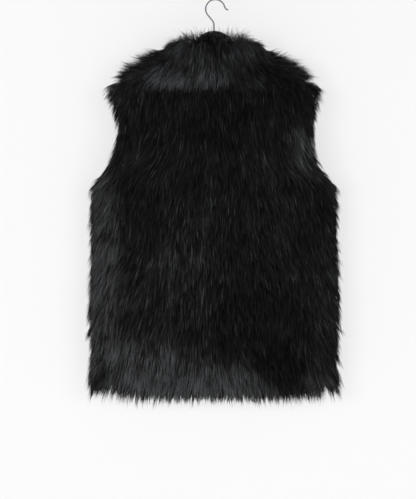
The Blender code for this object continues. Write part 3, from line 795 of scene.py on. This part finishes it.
def ribbons_of(at, coat, middle, owner):
    """The points of each ribbon: pairs along it, then its tip."""
    n = len(owner)
    angle = RNG.uniform(0.0, 2.0 * math.pi, n)
    radius = coat.spread * np.sqrt(RNG.random(n))
    shift = at.across[owner] * (np.cos(angle) * radius)[:, None]
    shift += at.down[owner] * (np.sin(angle) * radius)[:, None]
    tip_share = (coat.tip_spread * RNG.uniform(*TIP_SPREADS, n))[:, None]
    scale = tip_share + (1.0 - tip_share) * np.array(SPREAD_ALONG)[None, :]
    shorter = RNG.uniform(*RIBBON_LENGTHS, n)[:, None, None]
    root = middle[owner][:, :1]
    path = root + (middle[owner] - root) * shorter + shift[:, None, :] * scale[..., None]
    path[..., 1] = np.clip(path[..., 1], *DEEPEST_Y)

    along = unit(np.diff(path, axis=1))
    turn = LOCK_TURN * uneven(len(middle))[owner] + RIBBON_TURN * uneven(n)
    facing = at.normals[owner] * np.cos(turn)[:, None] + at.across[owner] * np.sin(turn)[:, None]
    wide = unit(np.cross(along, facing[:, None, :]))
    half = 0.5 * coat.width * RNG.uniform(*RIBBON_WIDTHS, n)
    sides = half[:, None, None] * np.array(WIDTH_ALONG)[None, :, None] * wide
    vertices = np.empty((n, RIBBON_POINTS, 3))
    vertices[:, 0:-1:2] = path[:, :-1] - sides
    vertices[:, 1::2] = path[:, :-1] + sides
    vertices[:, -1] = path[:, -1]
    return vertices


def ribbon_tones(at, coat, tuft, leaders, owner):
    """The tone of each ribbon's points, with painted shade darkest at the root and painted
    highlight and painted shade from each patch.
    """
    locks, tufts = len(tuft), len(leaders)
    seen_z = at.z - SEEN_BELOW
    # Painted highlight and painted shade from each patch, broken up by waves and by a painted sheen
    # for each tuft and lock
    broken = 1.0 + waving(at.x, seen_z, coat, PATCH_WAVES)
    at_back = smooth_step(*BACK_FADE_Y, at.points[:, 1])
    sheen = SHEEN * np.exp(SHEEN_BY_TUFT * uneven(tufts)[tuft] + SHEEN_BY_LOCK * uneven(locks))
    tone = 1.0 + painted_light_tone(coat.patches, at.x, seen_z) * broken * at_back * sheen
    tone = coat.tone * np.maximum(tone, LEAST_TONE)
    tone *= EDGE_TONE + (1.0 - EDGE_TONE) * smooth_step(*EDGE_TONE_FADE, at.hem_way)
    tone *= np.exp(TONE_BY_TUFT * uneven(tufts)[tuft])
    tone *= np.exp(waving(at.x, seen_z, coat, TONE_WAVES) + TONE_BY_LOCK * uneven(locks))
    tone = tone[owner] * np.exp(TONE_BY_RIBBON * uneven(len(owner)))
    # Painted shade, darkest at the root
    along = PAINTED_ROOT_SHADE + (1.0 - PAINTED_ROOT_SHADE) * np.array(ROOT_SHADE_FADE_ALONG)
    return np.clip(tone, *TONE_RANGE)[:, None] * along[None, :]


def fur_arrays(surface, coat):
    """Ribbons of one coat: the points of each and the tone of each point."""
    place = scatter(surface, coat.ribbons // coat.per_lock)
    at = Surface(*(read_grid(grid, place) for grid in surface))
    at = at._replace(normals=unit(at.normals), down=unit(at.down), across=unit(at.across))
    tuft, leaders = gather(at.points, at.dense)
    middle = lock_paths(at, coat, tuft, leaders)
    owner = np.repeat(np.arange(len(middle)), coat.per_lock)
    vertices = ribbons_of(at, coat, middle, owner)
    return vertices, ribbon_tones(at, coat, tuft, leaders, owner)


def ribbon_mesh(name, vertices, tones):
    """Join ribbons into one mesh."""
    first = np.arange(len(vertices))[:, None]
    corners = np.concatenate(RIBBON_FACES)
    totals = np.array([len(face) for face in RIBBON_FACES])
    loops = (first * RIBBON_POINTS + corners).ravel()
    starts = (first * len(corners) + np.cumsum(totals) - totals).ravel()
    mesh = bpy.data.meshes.new(name)
    mesh.vertices.add(len(vertices) * RIBBON_POINTS)
    mesh.vertices.foreach_set("co", (vertices * MILLIMETRE).astype(np.float32).ravel())
    mesh.loops.add(len(loops))
    mesh.loops.foreach_set("vertex_index", loops.astype(np.int32))
    mesh.polygons.add(len(starts))
    mesh.polygons.foreach_set("loop_start", starts.astype(np.int32))
    mesh.polygons.foreach_set("loop_total", np.tile(totals, len(vertices)).astype(np.int32))
    mesh.update(calc_edges=True)
    mesh.shade_smooth()
    layer = mesh.attributes.new("tone", "FLOAT", "POINT")
    layer.data.foreach_set("value", tones.astype(np.float32).ravel())
    return link(name, mesh)


def fur(names, surface, coat, split):
    """Grow a coat and part it into pieces, with split giving each root's piece."""
    vertices, tones = fur_arrays(surface, coat)
    which = split(vertices[:, 0])
    return [ribbon_mesh(name, vertices[which == number], tones[which == number])
            for number, name in enumerate(names)]


class Look:
    """A material under construction."""

    def __init__(self, name):
        self.material = bpy.data.materials.new(name)
        self.material.use_nodes = True
        self.nodes = self.material.node_tree.nodes
        self.shader = self.nodes["Principled BSDF"]

    def join(self, output, socket):
        """Link an output to a socket."""
        self.material.node_tree.links.new(output, socket)

    def set(self, **values):
        """Set the shader's sockets, with _ for each space in a name."""
        for name, value in values.items():
            self.shader.inputs[name.replace("_", " ")].default_value = value

    def noise(self, stretch=None, **values):
        """Noise over the object, which may be stretched along its axes."""
        place = self.nodes.new("ShaderNodeTexCoord").outputs["Object"]
        if stretch:
            mapping = self.nodes.new("ShaderNodeMapping")
            mapping.inputs["Scale"].default_value = stretch
            self.join(place, mapping.inputs["Vector"])
            place = mapping.outputs["Vector"]
        grain = self.nodes.new("ShaderNodeTexNoise")
        for name, value in values.items():
            grain.inputs[name].default_value = value
        self.join(place, grain.inputs["Vector"])
        return grain.outputs["Fac"]

    def spread(self, value, low, high):
        """Take a value from the range 0 to 1 to another."""
        made = self.nodes.new("ShaderNodeMapRange")
        made.inputs["To Min"].default_value = low
        made.inputs["To Max"].default_value = high
        self.join(value, made.inputs["Value"])
        return made.outputs["Result"]

    def calculate(self, operation, first, second):
        """Join two values by arithmetic."""
        made = self.nodes.new("ShaderNodeMath")
        made.operation = operation
        self.join(first, made.inputs[0])
        self.join(second, made.inputs[1])
        return made.outputs["Value"]

    def paint(self, value, dark, light, low=0.0, high=1.0):
        """Colour the shader from dark to light as a value goes from low to high."""
        ramp = self.nodes.new("ShaderNodeValToRGB")
        for stop, colour, position in zip(ramp.color_ramp.elements, (dark, light), (low, high)):
            stop.position = position
            stop.color = (*colour, 1.0)
        self.join(value, ramp.inputs["Fac"])
        self.join(ramp.outputs["Color"], self.shader.inputs["Base Color"])

    def roughen(self, value, strength, distance):
        """Small bumps, with their height in metres."""
        bump = self.nodes.new("ShaderNodeBump")
        bump.inputs["Strength"].default_value = strength
        bump.inputs["Distance"].default_value = distance
        self.join(value, bump.inputs["Height"])
        self.join(bump.outputs["Normal"], self.shader.inputs["Normal"])


def fur_material(name, dark, light, roughness):
    """Black glossy fibre, with painted shade darkening it toward the root and painted highlight and
    shade in places, uneven from lock to lock.
    """
    look = Look(name)
    tone = look.nodes.new("ShaderNodeAttribute")
    tone.attribute_name = "tone"
    patchy = look.spread(look.noise(Scale=260.0, Detail=3.0), low=0.5, high=1.5)
    look.paint(look.calculate("MULTIPLY", patchy, tone.outputs["Fac"]), dark, light)
    look.set(Roughness=roughness, Specular_IOR_Level=0.08)
    return look.material


def backing_material(name, dark, light):
    """The knitted ground that the fur grows from."""
    look = Look(name)
    knit = look.noise(Scale=420.0, Detail=4.0)
    look.paint(knit, dark, light, low=0.35, high=0.7)
    look.roughen(knit, strength=0.4, distance=0.0006)
    look.set(Roughness=0.85, Specular_IOR_Level=0.25)
    return look.material


def wood_material():
    """Dark satin-varnished wood with a fine grain along the hanger."""
    look = Look("hanger_wood")
    grain = look.noise(stretch=(6.0, 60.0, 60.0), Scale=6.0, Detail=6.0, Distortion=0.6)
    look.paint(grain, (0.008, 0.0045, 0.0042), (0.027, 0.013, 0.0115), low=0.35, high=0.68)
    look.roughen(grain, strength=0.12, distance=0.0004)
    look.set(Roughness=0.45, Specular_IOR_Level=0.16)
    return look.material


def wire_material():
    """Polished steel wire with faint drawing marks."""
    look = Look("hook_wire")
    marks = look.noise(Scale=700.0, Detail=3.0)
    look.paint(marks, (0.19, 0.19, 0.195), (0.33, 0.33, 0.335), low=0.3, high=0.7)
    look.join(look.spread(marks, low=0.2, high=0.36), look.shader.inputs["Roughness"])
    look.set(Metallic=1.0)
    return look.material


# How much brighter the stage's paper is at its brightest
PAPER_GRAIN = 1.04


def stage_material(name, paint, glow):
    """Near-white paper with a glow, clear from behind and to lamps behind it."""
    look = Look(name)
    bright = paint * PAPER_GRAIN
    look.paint(look.noise(Scale=3.0), (paint, paint, paint), (bright, bright, bright))
    look.set(Emission_Color=(1.0, 1.0, 1.0, 1.0), Emission_Strength=glow,
             Roughness=0.9, Specular_IOR_Level=0.1)
    sides = look.nodes.new("ShaderNodeNewGeometry")
    rays = look.nodes.new("ShaderNodeLightPath")
    clear = look.nodes.new("ShaderNodeBsdfTransparent")
    either = look.nodes.new("ShaderNodeMixShader")
    behind = look.calculate("MAXIMUM", sides.outputs["Backfacing"], rays.outputs["Is Shadow Ray"])
    look.join(behind, either.inputs["Fac"])
    look.join(look.shader.outputs["BSDF"], either.inputs[1])
    look.join(clear.outputs["BSDF"], either.inputs[2])
    look.join(either.outputs["Shader"], look.nodes["Material Output"].inputs["Surface"])
    return look.material


def plane(name, corners):
    """A flat four-sided surface of the stage."""
    mesh = bpy.data.meshes.new(name)
    mesh.from_pydata(corners, [], [(0, 1, 2, 3)])
    return link(name, mesh)


# The photograph's frame: 1.9 mm to a pixel in the garment's plane, seen straight on from behind
PHOTO_TALL = 0.948
CAMERA_DISTANCE = 3.4
CAMERA_X = 0.0139
CAMERA_Z = -0.4735
SENSOR_TALL = 24.0

# The stage, in metres: paint and glow of its paper, and where it stands
WALL_LOOK = (0.3, 0.586)
FLOOR_LOOK = (0.25, 0.7)
WALL_Y = -0.08
WALL_TOP_Z = 2.5
FLOOR_Z = -1.25
FLOOR_HALF = 6.0
STAGE_HALF = 4.0

# Lamps, all aimed at one place: the first three light the back, the last two the front
Lamp = namedtuple("Lamp", "name place wide tall power colour")
LAMPS_AIM = (0.0, 0.0, -0.4)
LAMPS = (
    Lamp("key", (1.3, 3.2, -0.3), 1.3, 0.7, 37.0, (1.0, 0.995, 0.985)),
    Lamp("fill", (-1.3, 3.2, -0.35), 1.3, 0.7, 27.0, (0.99, 0.995, 1.0)),
    Lamp("middle", (0.1, 3.5, -0.25), 1.3, 0.7, 35.0, (1.0, 1.0, 1.0)),
    Lamp("front", (1.0, -3.3, 0.3), 1.8, 1.8, 60.0, (1.0, 1.0, 1.0)),
    Lamp("front_fill", (-1.2, -3.3, 0.1), 1.8, 1.8, 45.0, (1.0, 1.0, 1.0)),
)

# The air's light, and what the camera sees past the stage
AIR_COLOUR = (0.97, 0.98, 1.0, 1.0)
AIR_STRENGTH = 0.22
BACKDROP_COLOUR = (0.93, 0.93, 0.93, 1.0)


def camera():
    """The camera, square to the garment's back."""
    lens = bpy.data.cameras.new("camera")
    lens.sensor_fit = "VERTICAL"
    lens.sensor_height = SENSOR_TALL
    lens.lens = SENSOR_TALL * CAMERA_DISTANCE / PHOTO_TALL
    made = link("camera", lens)
    made.location = (CAMERA_X, CAMERA_DISTANCE, CAMERA_Z)
    made.rotation_euler = (math.pi / 2, 0.0, math.pi)
    bpy.context.scene.camera = made


def area_light(lamp):
    """A soft lamp that the camera doesn't see."""
    light = bpy.data.lights.new(lamp.name, "AREA")
    light.shape = "RECTANGLE"
    light.size = lamp.wide
    light.size_y = lamp.tall
    light.energy = lamp.power
    light.color = lamp.colour
    made = link(lamp.name, light)
    made.location = lamp.place
    aim = Vector(LAMPS_AIM) - Vector(lamp.place)
    made.rotation_euler = aim.to_track_quat("-Z", "Y").to_euler()
    made.visible_camera = False


def air():
    """Light from all round, and a plain backdrop for the camera."""
    world = bpy.data.worlds.new("studio")
    world.use_nodes = True
    nodes = world.node_tree.nodes
    links = world.node_tree.links
    glow = nodes["Background"]
    glow.inputs["Color"].default_value = AIR_COLOUR
    glow.inputs["Strength"].default_value = AIR_STRENGTH
    backdrop = nodes.new("ShaderNodeBackground")
    backdrop.inputs["Color"].default_value = BACKDROP_COLOUR
    rays = nodes.new("ShaderNodeLightPath")
    either = nodes.new("ShaderNodeMixShader")
    links.new(rays.outputs["Is Camera Ray"], either.inputs["Fac"])
    links.new(glow.outputs["Background"], either.inputs[1])
    links.new(backdrop.outputs["Background"], either.inputs[2])
    links.new(either.outputs["Shader"], nodes["World Output"].inputs["Surface"])
    bpy.context.scene.world = world


def stage():
    """Wall, floor and light."""
    wall = plane("wall", [(STAGE_HALF, WALL_Y, FLOOR_Z), (-STAGE_HALF, WALL_Y, FLOOR_Z),
                          (-STAGE_HALF, WALL_Y, WALL_TOP_Z), (STAGE_HALF, WALL_Y, WALL_TOP_Z)])
    floor = plane("floor", [(-STAGE_HALF, -FLOOR_HALF, FLOOR_Z), (STAGE_HALF, -FLOOR_HALF, FLOOR_Z),
                            (STAGE_HALF, FLOOR_HALF, FLOOR_Z), (-STAGE_HALF, FLOOR_HALF, FLOOR_Z)])
    for piece, paint, glow in ((wall, *WALL_LOOK), (floor, *FLOOR_LOOK)):
        piece.data.materials.append(stage_material("white_" + piece.name, paint, glow))
    for lamp in LAMPS:
        area_light(lamp)
    air()
    bpy.context.scene.view_settings.view_transform = "Standard"


# Black fibre and its knitted ground, each from dark to light
FIBRE_DARK = (0.0010, 0.0010, 0.0011)
BODY_LIGHT = (0.100, 0.103, 0.107)
COLLAR_LIGHT = (0.100, 0.103, 0.108)
FIBRE_ROUGHNESS = 0.42
GROUND = ((0.003, 0.003, 0.0034), (0.007, 0.007, 0.008))

BODY_COAT = Coat(
    ribbons=78000, per_lock=2, spread=0.8, tip_spread=0.6, length=36.0, fringe=(13.0, 32.0),
    width=0.5, lift=1.35, tone=0.056, patches=BACK_PAINTED_LIGHT, salt=1.0)
LEFT_COAT = BODY_COAT._replace(
    ribbons=27000, patches=(), salt=2.0, width=0.95, spread=1.3, lift=1.15)
RIGHT_COAT = LEFT_COAT._replace(salt=3.0)
COLLAR_COAT = BODY_COAT._replace(
    ribbons=60000, patches=COLLAR_PAINTED_LIGHT, salt=5.0, length=34.0, fringe=(1.0, 19.0), lift=0.1,
    tone=0.075)

# Each piece of cloth by its node: its surface's maker, its coat, the names of its furs, the box it
# needs on the table in metres, and its area in square metres
Piece = namedtuple("Piece", "surface coat furs flat cut")
PIECES = {
    "back": Piece(lambda: panel_surface(0, 1.0), BODY_COAT,
                  ["back_fur_left", "back_fur_right"], (0.50, 0.70), 0.27),
    "front_left": Piece(lambda: panel_surface(1.0, -1.0), LEFT_COAT,
                        ["front_left_fur"], (0.25, 0.68), 0.131),
    "front_right": Piece(lambda: panel_surface(-1.0, -1.0), RIGHT_COAT,
                         ["front_right_fur"], (0.25, 0.68), 0.131),
    "collar": Piece(collar_surface, COLLAR_COAT,
                    ["collar_fur_left", "collar_fur_right"], (0.60, 0.25), 0.073),
}


def right_half(roots):
    """1 for ribbons on the wearer's right, 0 for the others."""
    return (roots[:, 0] < CENTRE_X).astype(int)


def whole(roots):
    """0 for all ribbons."""
    return np.zeros(len(roots), int)


def grow(piece, surface):
    """The furs of one piece of cloth, on its surface."""
    split = right_half if len(piece.furs) > 1 else whole
    return fur(piece.furs, surface, piece.coat, split)


def dress():
    """Put cloth and fur on the frame."""
    body_fur = fur_material("body_fur", FIBRE_DARK, BODY_LIGHT, FIBRE_ROUGHNESS)
    collar_fur = fur_material("collar_fur", FIBRE_DARK, COLLAR_LIGHT, FIBRE_ROUGHNESS)
    backing = backing_material("fur_backing", *GROUND)
    surfaces = {node: piece.surface() for node, piece in PIECES.items()}
    grown = {node: grow(piece, surfaces[node]) for node, piece in PIECES.items()}
    for node, coats in grown.items():
        cloth = shell(node + "_cloth", surfaces[node])
        cloth.data.materials.append(backing)
        for piece in coats:
            piece.data.materials.append(collar_fur if node == "collar" else body_fur)
        for piece in [cloth, *coats]:
            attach(piece, "root")
            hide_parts(node)

    for node, finish in (("hanger_body", wood_material()), ("hanger_hook", wire_material())):
        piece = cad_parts[node]
        piece.data.materials.clear()
        piece.data.materials.append(finish)


camera()
stage()
dress()
